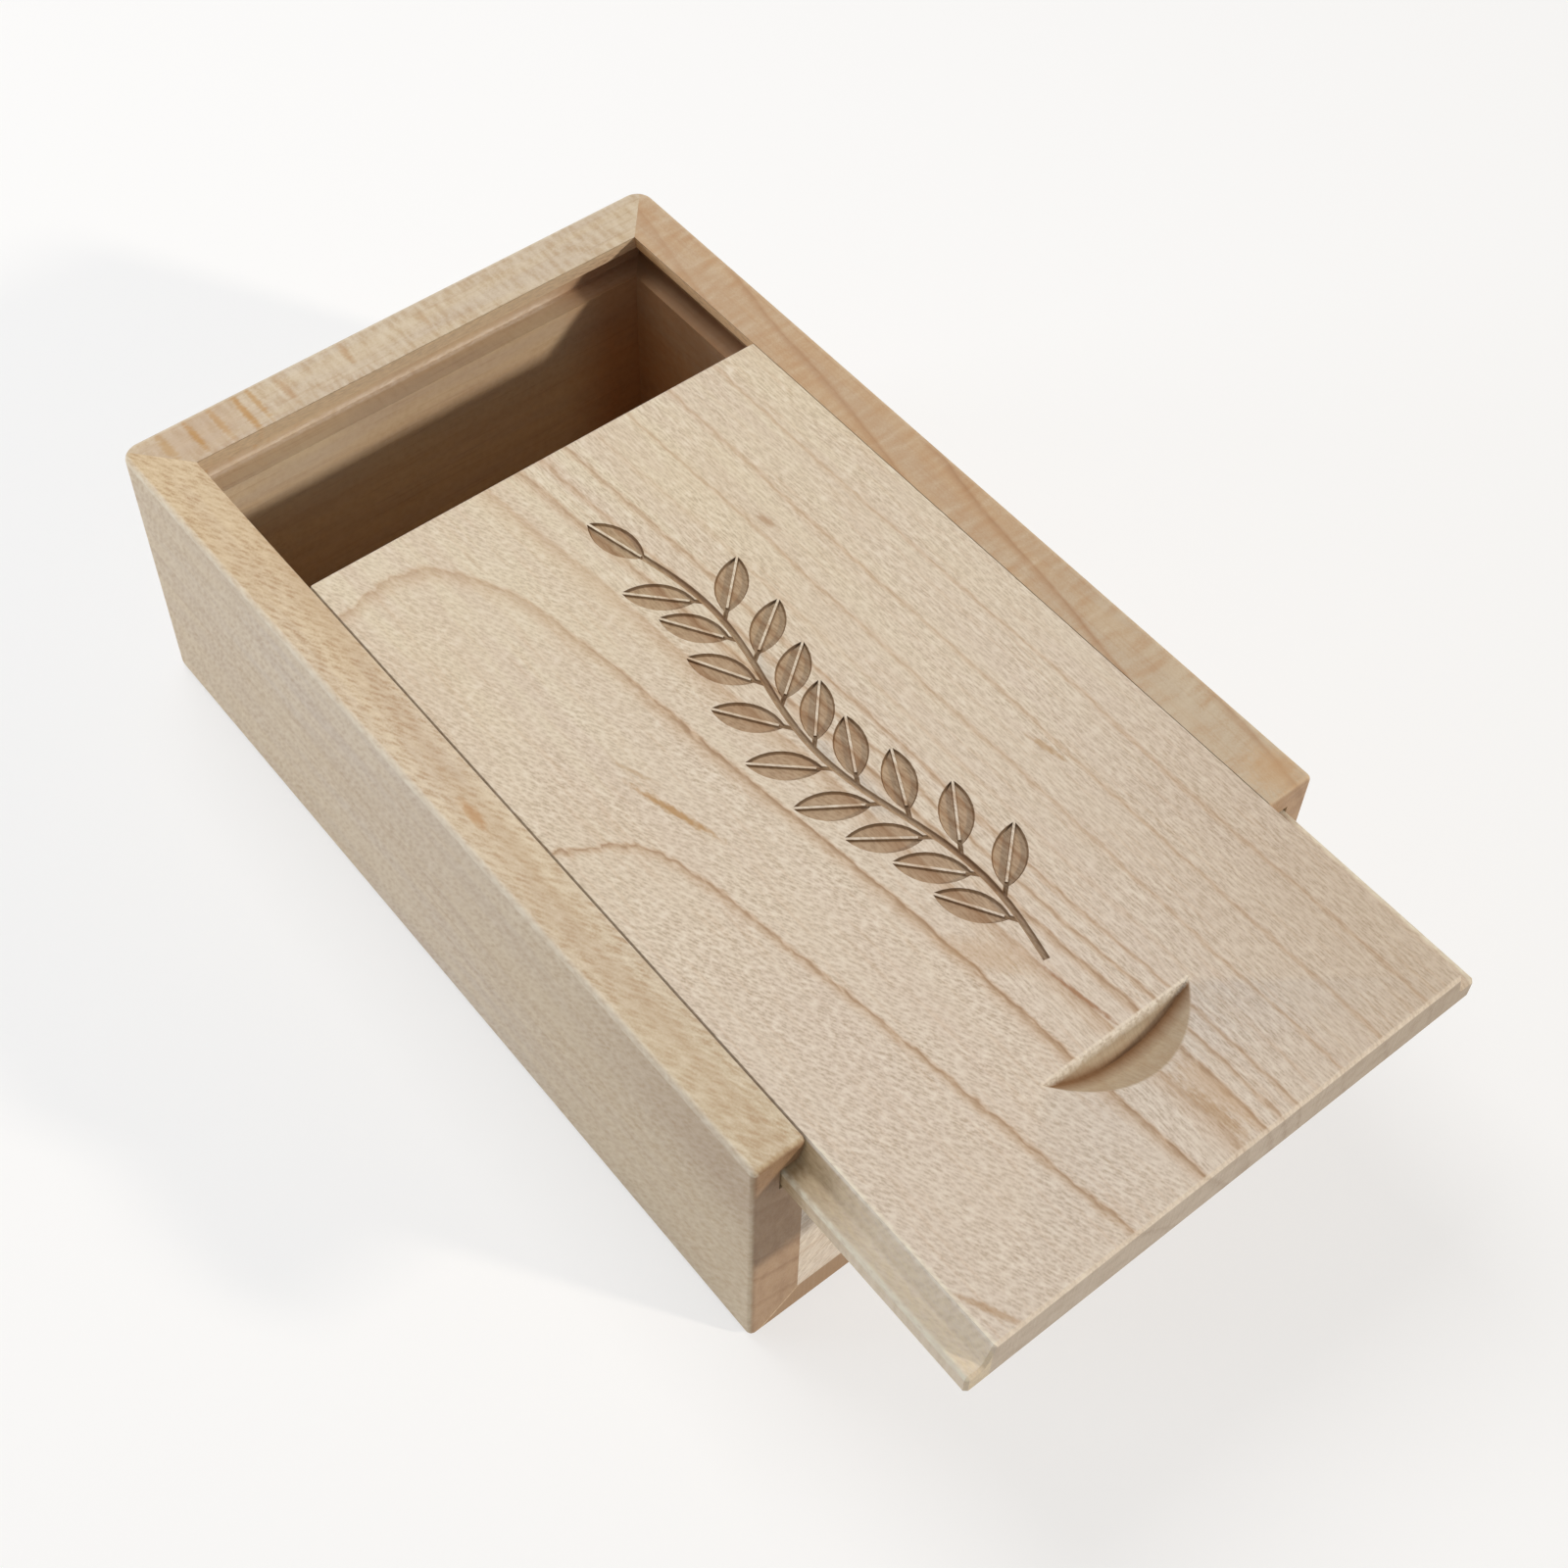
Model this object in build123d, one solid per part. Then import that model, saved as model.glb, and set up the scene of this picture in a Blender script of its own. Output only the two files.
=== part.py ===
from build123d import *
import math
import os

# Small maple box with a sliding lid.
# Millimetres, +Z up. The origin is the middle of the underside of the box.
# The lid slides along Y, and is drawn out of the open end, which faces -Y.

# Box, outside
box_width = 55.0
box_length = 86.0
box_height = 27.5

# Boards of the box
side_wall = 4.6
back_wall = 5.2
front_wall = 4.6
bottom_wall = 3.6

# Groove for the lid, cut along the inner face of both sides and of the back
groove_depth = 2.25
lip_height = 2.0
undercut_angle = 17.5

# Lid
lid_length = 83.0
lid_thickness = 4.7
lid_drawn_out = 19.4
lid_side_gap = 0.2
lid_top_gap = 0.45
lid_floor_gap = 0.05
panel_gap = 0.1
tongue_cove = 0.45
tongue_round = 0.35

# Thumb notch: a round cutter plunged into the lid at a slant
cutter_radius = 10.0
cutter_angle = 45.0
notch_length = 4.5
notch_from_end = 8.0

# Softened edges
corner_round = 1.7
edge_round = 0.5
base_round = 0.8
lid_edge_ease = 0.25

# Places that follow from the sizes above
half_width = box_width / 2
half_length = box_length / 2
inner_half_width = half_width - side_wall
inner_back = half_length - back_wall
lid_bottom = box_height - lid_thickness
groove_floor = lid_bottom - lid_floor_gap
groove_ceiling = box_height - lip_height
tongue_top = groove_ceiling - lid_top_gap
slope = math.tan(math.radians(undercut_angle))
lid_top_half_width = inner_half_width - lid_side_gap
tongue_half_width = inner_half_width + groove_depth - lid_side_gap
lid_front = -half_length - lid_drawn_out
lid_back = lid_front + lid_length


def grooved_section(wall):
    """Section of a grooved wall, as points (depth in from the outer face, height).

    The foot is mitred to the bottom board. The lip over the groove leans outwards as it
    goes down, so that it holds the lid's sloping shoulder.
    """
    return [
        (0, 0),
        (wall, bottom_wall),
        (wall, groove_floor),
        (wall - groove_depth, groove_floor),
        (wall - groove_depth, groove_ceiling),
        (wall - lip_height * slope, groove_ceiling),
        (wall, box_height),
        (0, box_height),
    ]


def prism_along_y(points):
    """Solid whose section is points (x, z), as long as the box."""
    face = Plane.XZ * make_face(Polyline(*points, close=True))
    return extrude(face, amount=half_length, both=True)


def prism_along_x(points):
    """Solid whose section is points (y, z), as wide as the box."""
    face = Plane.YZ * make_face(Polyline(*points, close=True))
    return extrude(face, amount=half_width, both=True)


def column(points):
    """Solid whose plan is points (x, y), as tall as the box."""
    face = make_face(Polyline(*points, close=True))
    return extrude(face, amount=box_height, dir=(0, 0, 1))


def soft_block():
    """The box's outer block with its edges softened: every board is trimmed to it."""
    block = Pos(0, 0, box_height / 2) * Box(box_width, box_length, box_height)
    uprights = block.edges().filter_by(Axis.Z).group_by(Axis.Y)
    block = fillet(uprights[-1], corner_round)
    block = fillet(block.edges().filter_by(Axis.Z).group_by(Axis.Y)[0], edge_round)
    block = fillet(block.edges().group_by(Axis.Z)[0], base_round)
    return fillet(block.edges().group_by(Axis.Z)[-1], edge_round)


def side_board(sign):
    """A long side: sign -1 is the left one and +1 the right one."""
    section = [(sign * (half_width - depth), z) for depth, z in grooved_section(side_wall)]
    plan = [
        (sign * half_width, -half_length),
        (sign * inner_half_width, -half_length),
        (sign * inner_half_width, inner_back),
        (sign * half_width, half_length),
    ]
    return prism_along_y(section) & column(plan) & soft_block()


def back_board():
    """The closed end, mitred to the sides and to the bottom."""
    section = [(half_length - depth, z) for depth, z in grooved_section(back_wall)]
    plan = [
        (-half_width, half_length),
        (half_width, half_length),
        (inner_half_width, inner_back),
        (-inner_half_width, inner_back),
    ]
    return prism_along_x(section) & column(plan) & soft_block()


def bottom_board():
    """The floor: its long edges and its back edge are mitred under the walls."""
    across = [
        (-half_width, 0),
        (half_width, 0),
        (inner_half_width, bottom_wall),
        (-inner_half_width, bottom_wall),
    ]
    along = [
        (-half_length, 0),
        (half_length, 0),
        (inner_back, bottom_wall),
        (-half_length, bottom_wall),
    ]
    return prism_along_y(across) & prism_along_x(along) & soft_block()


def front_board():
    """The low end panel, between the sides and on the bottom, under the lid's path."""
    height = groove_floor - panel_gap - bottom_wall
    panel = Pos(0, -half_length + front_wall / 2, bottom_wall + height / 2) * Box(
        2 * inner_half_width, front_wall, height
    )
    top_edges = panel.edges().filter_by(Axis.X).group_by(Axis.Z)[-1]
    return chamfer(top_edges, lid_edge_ease)


def lid_section():
    """Half of the lid's section, as a face: sloping shoulder, cove and round-nosed tongue."""
    shoulder_foot = lid_top_half_width + (box_height - tongue_top) * slope
    half = make_face(
        Polyline(
            (0, lid_bottom),
            (tongue_half_width, lid_bottom),
            (tongue_half_width, tongue_top),
            (shoulder_foot, tongue_top),
            (lid_top_half_width, box_height),
            (0, box_height),
            close=True,
        )
    )
    half = fillet(half.vertices().group_by(Axis.X)[-1], tongue_round)
    inner_corner = half.vertices().sort_by_distance((shoulder_foot, tongue_top))[0]
    return fillet(inner_corner, tongue_cove)


def thumb_notch():
    """The slanted round cutter, its flat end meeting the lid's top in a straight line."""
    tilt = math.radians(cutter_angle)
    start_y = lid_front + notch_from_end + notch_length
    floor_length = notch_length * math.cos(tilt)
    back_off = cutter_radius - floor_length
    centre_y = start_y + back_off * math.cos(tilt)
    centre_z = box_height + back_off * math.sin(tilt)
    reach = 4 * lid_thickness
    cutter = Cylinder(cutter_radius, reach, align=(Align.CENTER, Align.CENTER, Align.MIN))
    return Pos(0, centre_y, centre_z) * Rot(X=cutter_angle) * cutter


def lid():
    """One solid board: tongues along both long edges, eased ends and the thumb notch."""
    half = Plane.XZ * lid_section()
    section = half + mirror(half, about=Plane.YZ)
    board = Pos(0, lid_back, 0) * extrude(section, amount=lid_length, dir=(0, -1, 0))
    ends = board.edges().filter_by(Axis.X)
    board = chamfer(ends.group_by(Axis.Z)[-1] + ends.group_by(Axis.Z)[0], lid_edge_ease)
    return board - thumb_notch()


parts = {
    "left_side": side_board(-1),
    "right_side": side_board(1),
    "back_end": back_board(),
    "front_end": front_board(),
    "bottom_board": bottom_board(),
    "lid": lid(),
}

os.makedirs("parts", exist_ok=True)
for name, solid in parts.items():
    export_step(solid, os.path.join("parts", name + ".step"))
    print(name, "volume", round(solid.volume, 2), "solids", len(solid.solids()))
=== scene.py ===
# %% [markdown]
# # A small maple box with a sliding lid
#
# The boards come ready made from the CAD model: mitred sides and back, a low front end, a
# bottom and a lid with tongues. This lesson gives them their wood. Maple is a solid material,
# so its pattern is worked out in three dimensions, from growth rings and rays, and every face
# of a board shows its own slice of it. Then the lid gets its cut ornament, and the box gets a
# floor, its light and a camera.

# %% Load the boards
import math

import bmesh
import bpy
from mathutils import Matrix, Vector


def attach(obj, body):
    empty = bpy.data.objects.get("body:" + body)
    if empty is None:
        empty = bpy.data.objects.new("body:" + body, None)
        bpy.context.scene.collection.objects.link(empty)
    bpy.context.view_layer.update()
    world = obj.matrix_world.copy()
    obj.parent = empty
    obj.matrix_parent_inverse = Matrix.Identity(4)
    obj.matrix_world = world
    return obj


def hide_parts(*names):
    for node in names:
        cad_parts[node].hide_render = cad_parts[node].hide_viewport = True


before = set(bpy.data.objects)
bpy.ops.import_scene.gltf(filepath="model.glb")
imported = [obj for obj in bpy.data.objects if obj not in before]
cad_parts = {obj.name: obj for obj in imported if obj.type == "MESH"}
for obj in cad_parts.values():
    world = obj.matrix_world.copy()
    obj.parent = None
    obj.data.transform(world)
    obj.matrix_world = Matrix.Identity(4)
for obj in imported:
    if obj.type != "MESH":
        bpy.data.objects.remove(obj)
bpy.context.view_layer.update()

print("boards:", ", ".join(sorted(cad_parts)))

# %% A helper for new objects
def in_scene(name, data):
    """A new object with that data, linked into the scene."""
    made = bpy.data.objects.new(name, data)
    bpy.context.scene.collection.objects.link(made)
    return made


# %% [markdown]
# ## The camera
#
# The camera stands above the open end, to the left of the box, and looks down at it. Its place
# is found from real edges: the rim, the lid and the foot of the box, whose sizes are known. It
# also leans a little to one side, so it is built from three directions, which say where its
# own right, up and back point, and not from angles typed in one by one.

# %% Stand the camera
AZIMUTH = math.radians(-40.561)
ELEVATION = math.radians(53.978)
LEAN = math.radians(2.025)
RIM = 27.5
AIM_MM = Vector((-5.06, -18.5, RIM))
DISTANCE_MM = 184.1
FOCAL_PX = 2464.5
FRAME_PX = 1600

back = Vector((
    math.sin(AZIMUTH) * math.cos(ELEVATION),
    -math.cos(AZIMUTH) * math.cos(ELEVATION),
    math.sin(ELEVATION),
))
level_right = (-back).cross(Vector((0, 0, 1))).normalized()
level_up = level_right.cross(-back)
right = level_right * math.cos(LEAN) + level_up * math.sin(LEAN)
up = level_up * math.cos(LEAN) - level_right * math.sin(LEAN)

camera = in_scene("camera", bpy.data.cameras.new("camera"))
turn = Matrix((right, up, back)).transposed().to_4x4()
camera.matrix_world = Matrix.Translation((AIM_MM + back * DISTANCE_MM) / 1000) @ turn
camera.data.sensor_width = 36
camera.data.lens = FOCAL_PX / FRAME_PX * camera.data.sensor_width
camera.data.clip_start = 0.01
bpy.context.scene.camera = camera
print("camera at mm:", [round(1000 * c, 1) for c in camera.location])
print("lens in mm:", round(camera.data.lens, 2))

# %% [markdown]
# ## Two helpers for the finishes
#
# A colour read off real wood is an sRGB number, and a shader works with linear light, so one
# function turns a hex colour into the other kind. The second function adds a node, with its
# settings and whatever is plugged into it, in one line. A node that is handed in stands for
# its first output in use.

# %% Colour and node helpers
def colour(code):
    """Linear colour of an sRGB hex code such as D9CAB0."""
    parts = [int(code[i:i + 2], 16) / 255 for i in (0, 2, 4)]
    return tuple(c / 12.92 if c <= 0.04045 else ((c + 0.055) / 1.055) ** 2.4 for c in parts) + (1,)


def add(tree, kind, inputs=None, **settings):
    """Adds a node. inputs gives a socket, by name or number, its value or what is plugged in."""
    made = tree.nodes.new("ShaderNode" + kind)
    for key, value in settings.items():
        setattr(made, key, value)
    for key, value in (inputs or {}).items():
        named = [s for s in made.inputs if s.enabled and s.name == key]
        socket = named[0] if named else made.inputs[key]
        if isinstance(value, bpy.types.Node):
            value = next(s for s in value.outputs if s.enabled)
        if isinstance(value, bpy.types.NodeSocket):
            tree.links.new(value, socket)
        else:
            socket.default_value = value
    return made


print("sanded maple as linear light:", [round(c, 3) for c in colour("D9CAB0")[:3]])

# %% [markdown]
# ## A board's own directions
#
# Each board has three directions: u across the grain, v along it and w through its thickness.
# All patterns are counted along these in millimetres, so a size in this file is a size on the
# wood. Soft patches, used all over, are a noise stretched to a size and cut to a range.

# %% Directions and soft patches
def directions(tree, cut):
    """Places in mm along X, Y and Z, and the same three as the board's own u, v and w."""
    coords = add(tree, "TexCoord")
    in_mm = add(tree, "VectorMath", {0: coords.outputs["Object"], "Scale": 1000.0}, operation="SCALE")
    split = add(tree, "SeparateXYZ", {0: in_mm})
    u, v, w = (split.outputs["XYZ".index(letter)] for letter in cut["axes"])
    board = add(tree, "CombineXYZ", {0: u, 1: v, 2: w})
    return split.outputs, (u, v, w), board


def patches(tree, place, size, low=0.35, high=0.65, detail=2.0):
    """Soft patches from 0 to 1, about as large as size, in mm."""
    counted = add(tree, "VectorMath", {0: place, 1: tuple(1 / s for s in size)}, operation="MULTIPLY")
    noise = add(tree, "TexNoise", {"Vector": counted, "Scale": 1.0, "Detail": detail})
    return add(tree, "MapRange", {"Value": noise, 1: low, 2: high}, interpolation_type="SMOOTHSTEP")


print("helpers for patterns are ready")

# %% [markdown]
# ## Growth rings
#
# A ring is a layer of late wood: it darkens slowly and ends sharply. On a board sawn near the
# side of the tree most rings run almost straight along the board, and a few come up, turn over
# and go back down as arches. A straight ring is counted by its place across the board. An arch
# is a rounded corner: the distance from it is a smooth minimum of the distances from two lines.

# %% Straight rings and arches
# The rings' lean is counted from this place along v. Late wood's sharp side is this wide, and
# the ramp that holds all the rings reaches this far past the outermost ones.
LEAN_FROM = -20.0
SHARP_SIDE = 0.3
RAMP_MARGIN = 3


def across_rings(tree, u, v, w, cut):
    """Place across the nearly straight rings, in mm."""
    start, end, lean_start, lean_end = cut["slope"]
    slope = add(tree, "MapRange", {0: u, 1: start, 2: end, 3: lean_start, 4: lean_end})
    along = add(tree, "Math", {0: v, 1: LEAN_FROM}, operation="SUBTRACT")
    place = add(tree, "Math", {0: slope, 1: along, 2: u}, operation="MULTIPLY_ADD")
    depth = add(tree, "Math", {0: w, 1: cut["face"]}, operation="SUBTRACT")
    return add(tree, "Math", {0: depth, 1: cut["dip"], 2: place}, operation="MULTIPLY_ADD")


def across_arch(tree, u, v, w, cut, corner_u, tilt_u, corner_v, tilt_v, bend):
    """Distance outwards from an arch, in mm."""
    depth = add(tree, "Math", {0: w, 1: cut["face"]}, operation="SUBTRACT")
    risen = add(tree, "Math", {0: depth, 1: 1 / cut["taper"], 2: v}, operation="MULTIPLY_ADD")
    from_u = add(tree, "Math", {0: u, 1: corner_u}, operation="SUBTRACT")
    from_v = add(tree, "Math", {0: risen, 1: corner_v}, operation="SUBTRACT")
    side = add(tree, "Math", {0: from_v, 1: tilt_u}, operation="MULTIPLY")
    side = add(tree, "Math", {0: side, 1: from_u}, operation="SUBTRACT")
    top = add(tree, "Math", {0: from_u, 1: tilt_v}, operation="MULTIPLY")
    top = add(tree, "Math", {0: top, 1: from_v}, operation="SUBTRACT")
    gap = add(tree, "Math", {0: side, 1: top}, operation="SUBTRACT")
    gap = add(tree, "Math", {0: gap, 1: gap, 2: 4 * bend * bend}, operation="MULTIPLY_ADD")
    gap = add(tree, "Math", {0: gap}, operation="SQRT")
    both = add(tree, "Math", {0: side, 1: top}, operation="ADD")
    twice = add(tree, "Math", {0: gap, 1: both}, operation="SUBTRACT")
    return add(tree, "Math", {0: twice, 1: 0.5}, operation="MULTIPLY")


def late_wood(tree, place, rings):
    """Late wood from 0 to 1 for each ring: its place, strength and width on the soft side."""
    low, high = rings[0][0] - RAMP_MARGIN, rings[-1][0] + RAMP_MARGIN
    share = add(tree, "MapRange", {0: place, 1: low, 2: high})
    ramp = add(tree, "ValToRGB", {0: share})
    stops = ramp.color_ramp.elements
    stops[0].color = stops[1].color = (0, 0, 0, 1)
    for at, strength, width in rings:
        for shift, level in ((-width, 0.0), (0.0, strength), (SHARP_SIDE, 0.0)):
            stop = stops.new((at + shift - low) / (high - low))
            stop.color = (level, level, level, 1)
    return ramp


def all_rings(tree, board, place, cut):
    """All the late wood of a board. The rings wander, as the tree's own years did."""
    u, v, w = place
    wander = patches(tree, board, (9, 30, 9), low=0.0, high=1.0, detail=1.0)
    wander = add(tree, "Math", {0: wander, 1: 0.5}, operation="SUBTRACT")
    shiver = patches(tree, board, (0.8, 1.8, 0.8), low=0.1, high=0.9)
    shiver = add(tree, "Math", {0: shiver, 1: 0.5}, operation="SUBTRACT")
    u = add(tree, "Math", {0: wander, 1: cut["wander"], 2: u}, operation="MULTIPLY_ADD")
    u = add(tree, "Math", {0: shiver, 1: 0.3, 2: u}, operation="MULTIPLY_ADD")
    v = add(tree, "Math", {0: shiver, 1: 0.8, 2: v}, operation="MULTIPLY_ADD")
    total = late_wood(tree, across_rings(tree, u, v, w, cut), cut["rings"])
    for *shape, strength, width in cut["arches"]:
        arch = late_wood(tree, across_arch(tree, u, v, w, cut, *shape), [(0.0, strength, width)])
        total = add(tree, "Math", {0: total, 1: arch}, operation="MAXIMUM")
    return total


print("rings can be straight or arched")

# %% [markdown]
# ## Rays
#
# Rays are thin ribbons of cells that run out from the heart of the tree. On the face of a board
# they are dashes about a millimetre long, side by side like a weave, with paler wood between
# them. That gives maple its rippled look. On the next face the same ribbons are longer strokes.
# A Voronoi pattern stretched to a ribbon's size sets them out evenly, a noise of the same size
# frays them, and fine grit stands for the cut fibres. A board has two such patterns, each with
# its own slant, roll and size of ribbon, because the rays of a real board turn over its width.
# They meet at a place along u, and their border wanders by as much as they mingle.

# %% Rays
# The share of each pattern, and the mean of the even one when its cells are flat or solid
EVEN, FRAYED, GRIT = 0.45, 0.55, 0.35
MIDDLE = {"2D": 0.45, "3D": 0.55}
SWAY = 0.2
GRIT_PER_MM = (7.7, 4.6, 7.7)


def ray_ripple(tree, board, u, cut):
    """Ripple of the rays: 0 is plain wood, less is a dark dash and more is pale wood between."""
    sway = add(tree, "TexNoise", {"Vector": board, "Scale": 0.5, "Detail": 1.0})
    sway = add(tree, "VectorMath", {0: sway.outputs["Color"], 1: (0.5,) * 3}, operation="SUBTRACT")
    swayed = add(tree, "VectorMath", {0: sway, 1: (SWAY,) * 3, 2: board}, operation="MULTIPLY_ADD")
    slanted = []
    for slant, roll, ray in zip(cut["slants"], cut["rolls"], cut["rays"]):
        turned = add(tree, "Mapping", {"Vector": swayed,
                                       "Rotation": (math.radians(roll), 0, math.radians(-slant))})
        counted = add(tree, "VectorMath", {0: turned, 1: tuple(1 / s for s in ray)},
                      operation="MULTIPLY")
        even = add(tree, "TexVoronoi", {"Vector": counted, "Scale": 1.0, "Randomness": 0.9},
                   voronoi_dimensions=cut["ribbon"])
        even = add(tree, "Math", {0: even, 1: EVEN}, operation="MULTIPLY")
        frayed = add(tree, "TexNoise", {"Vector": counted, "Scale": 1.0, "Detail": 2.0,
                                        "Roughness": 0.6})
        slanted.append(add(tree, "Math", {0: frayed, 1: FRAYED, 2: even}, operation="MULTIPLY_ADD"))
    border = patches(tree, board, (4.0, 9.0, 4.0), low=0.2, high=0.8)
    border = add(tree, "Math", {0: border, 1: cut["mingle"], 2: u}, operation="MULTIPLY_ADD")
    share = add(tree, "MapRange", {0: border, 1: cut["turn"][0], 2: cut["turn"][1]})
    ripple = add(tree, "Mix", {"Factor": share, "A": slanted[0], "B": slanted[1]}, data_type="FLOAT")
    grit = add(tree, "VectorMath", {0: board, 1: GRIT_PER_MM}, operation="MULTIPLY")
    grit = add(tree, "TexNoise", {"Vector": grit, "Scale": 1.0, "Detail": 1.0})
    ripple = add(tree, "Math", {0: grit, 1: GRIT, 2: ripple}, operation="MULTIPLY_ADD")
    plain = EVEN * MIDDLE[cut["ribbon"]] + (FRAYED + GRIT) / 2
    return add(tree, "Math", {0: ripple, 1: plain}, operation="SUBTRACT")


print("rays are ready")

# %% [markdown]
# ## Places that differ
#
# Wood that light hardly reaches looks much warmer, because the light has been from board to
# board, so the inside of the box is painted browner and darker as painted shade, more so
# further down and in the back right corner. The thumb notch is browner too, where the cutter
# rubbed the end grain, and it has painted shade as well, darkest in its crease. On the lid the
# front right of the top and the shoulder just outside the left wall are painted shade. A laser
# leaves brown sides and a tan floor. Such a place is a set of windows that are multiplied. The
# wood in a tinted place is multiplied by a colour, so that its pattern stays. The wood in a
# paler place goes over to a colour of its own: a worn edge, or a painted highlight where light
# catches an edge, a lip or the bottom of a groove. In a calm place the rays and the rings are
# fainter.

# %% Windows, and the lowest line of the thumb notch
CUTTER_RADIUS, CUTTER_ANGLE, NOTCH_LENGTH = 10.0, math.radians(45), 4.5
WALL_ANGLE, CREASE_STRETCH = math.radians(59), 1.03
HALF_WIDTH, SIDE_WALL, BOTTOM_WALL = 27.5, 4.6, 3.6


def window(tree, known, limits):
    """1 inside all the limits and 0 outside them.

    A limit says what it is counted along, where it starts and where it is full, in mm.
    """
    total = None
    for axis, start, full in limits:
        part = add(tree, "MapRange", {0: known[axis], 1: start, 2: full})
        total = part if total is None else add(tree, "Math", {0: total, 1: part}, operation="MULTIPLY")
    return total


def above_valley(tree, x, z):
    """Height over the crease where the notch's floor meets its wall, in mm."""
    flat_end = CUTTER_RADIUS - NOTCH_LENGTH * math.cos(CUTTER_ANGLE)
    drop = CREASE_STRETCH * math.sin(WALL_ANGLE) * math.sin(CUTTER_ANGLE)
    square = add(tree, "Math", {0: x, 1: x}, operation="MULTIPLY")
    left_over = add(tree, "Math", {0: CUTTER_RADIUS ** 2, 1: square}, operation="SUBTRACT")
    reach = add(tree, "Math", {0: left_over}, operation="SQRT")
    depth = add(tree, "Math", {0: reach, 1: flat_end}, operation="SUBTRACT")
    lifted = add(tree, "Math", {0: depth, 1: drop, 2: z}, operation="MULTIPLY_ADD")
    return add(tree, "Math", {0: lifted, 1: RIM}, operation="SUBTRACT")


def known_places(tree, places, cut):
    """What a limit can be counted along.

    X, Y and Z are the box's own. side is the distance from the middle plane, mitre is the
    distance outwards from the joint of a side and the bottom, and valley is above_valley.
    """
    side = add(tree, "Math", {0: places["X"]}, operation="ABSOLUTE")
    mitre = add(tree, "Math", {0: places["Z"], 1: SIDE_WALL / BOTTOM_WALL, 2: side},
                operation="MULTIPLY_ADD")
    mitre = add(tree, "Math", {0: mitre, 1: HALF_WIDTH}, operation="SUBTRACT")
    known = {"X": places["X"], "Y": places["Y"], "Z": places["Z"], "side": side, "mitre": mitre}
    if any(axis == "valley" for limits, code in cut["tinted"] for axis, start, full in limits):
        known["valley"] = above_valley(tree, places["X"], places["Z"])
    return known


print("the notch's floor is", round(NOTCH_LENGTH * math.cos(CUTTER_ANGLE), 2), "mm long at a slant")

# %% Places on the box
# The two faces that the lid's groove reaches, and what lies inside them, which some boards
# tint darker as painted shade
GROOVE_SIDE = ("side", 25.35, 25.15)
GROOVE_BACK = ("Y", 40.3, 40.1)
INSIDE = [GROOVE_SIDE, GROOVE_BACK, ("Y", -42.7, -42.4), ("Z", 27.4, 27.2), ("Z", 3.2, 3.45)]
# Painted shade: the inside gets darker and browner further down
DEEP_SHADE = INSIDE + [("Z", 20.5, 15.0)]
WALL_MIDDLE = INSIDE + [("X", -12.0, -3.0), ("Z", 15.0, 18.0), ("Z", 25.0, 23.0)]
# Painted shade in the back right corner, on the back wall and on the right wall beside it
CORNER = [("X", 14.0, 19.5), GROOVE_BACK, ("Z", 27.2, 26.2)]
SIDE_CORNER = [GROOVE_SIDE, ("Y", 20.0, 37.0), ("Z", 25.5, 25.3)]

# The groove in the back, a painted highlight on its bottom where it is lit, and the lips over
# it and over the right one, which are painted lighter as painted light where they are lit
GROOVE = [GROOVE_SIDE, GROOVE_BACK, ("Y", 37.9, 38.1), ("Z", 26.0, 25.6), ("Z", 22.0, 22.4)]
GROOVE_HIGHLIGHT = [GROOVE_SIDE, ("X", 16.5, 13.0), GROOVE_BACK, ("Y", 39.5, 39.75),
                 ("Z", 23.4, 23.0), ("Z", 22.3, 22.5)]
LIP_HEIGHT = [("Z", 25.3, 25.45), ("Z", 27.45, 27.3)]
LIP = [("Y", 37.5, 37.7), ("Y", 39.2, 39.0)] + LIP_HEIGHT
LIT_SIDE_LIP = [("X", 22.3, 22.6), ("X", 24.2, 24.0), ("Y", 0.0, 12.0)] + LIP_HEIGHT

# Outer faces and edges. The top of a wall's front end, beside the lid, is painted shade, and
# the rims' outer edges are worn paler and carry a painted highlight
LONG_FACE = [("side", 27.1, 27.4)]
FACE_FRONT = LONG_FACE + [("Y", -20.0, -38.0), ("Z", 14.0, 22.0)]
TOP = [("Z", 27.1, 27.4)]
TOP_REAR = TOP + [("Y", -20.0, 25.0)]
END_TOP_SHADE = [("Y", -42.5, -42.8), ("Z", 23.5, 25.0)]
RIM_EDGE = [("side", 26.95, 27.15), ("Z", 26.95, 27.1)]
BACK_RIM_EDGE = [("Y", 42.45, 42.6), ("Z", 26.95, 27.1)]
MITRE = [("mitre", -0.4, -0.2)]
print("the inside starts", INSIDE[0][2], "mm from the middle")

# %% Places on the lid
NOTCH = [("side", 7.6, 7.3), ("Y", -49.8, -49.95), ("Y", -54.9, -54.7), ("Z", 27.45, 27.3)]
# Painted shadow along the notch's crease, where its wall shades its floor
VALLEY_SHADOW = NOTCH + [("valley", 0.8, 0.1)]
CHORD = [("side", 7.4, 7.1), ("Y", -49.7, -49.85), ("Y", -50.35, -50.05)]

# The sloping left shoulder, painted shadow on its part just outside the box, where the left
# wall's front end shades it, and edges that are worn paler and carry a painted highlight
SHOULDER = [("X", -22.75, -22.85)]
WALL_SHADOW = [("X", -22.6, -22.75), ("Y", -51.0, -43.5), ("Z", 27.3, 27.1)]
LONG_ARRIS = [("X", -22.35, -22.55), ("X", -22.95, -22.75), ("Z", 27.1, 27.35), ("Y", -42.8, -44.0)]
FRONT_ARRIS = [("Y", -62.05, -62.2), ("Z", 27.1, 27.25)]
TONGUE_EDGE = [("side", 24.5, 24.75), ("Z", 24.5, 24.75)]

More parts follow.
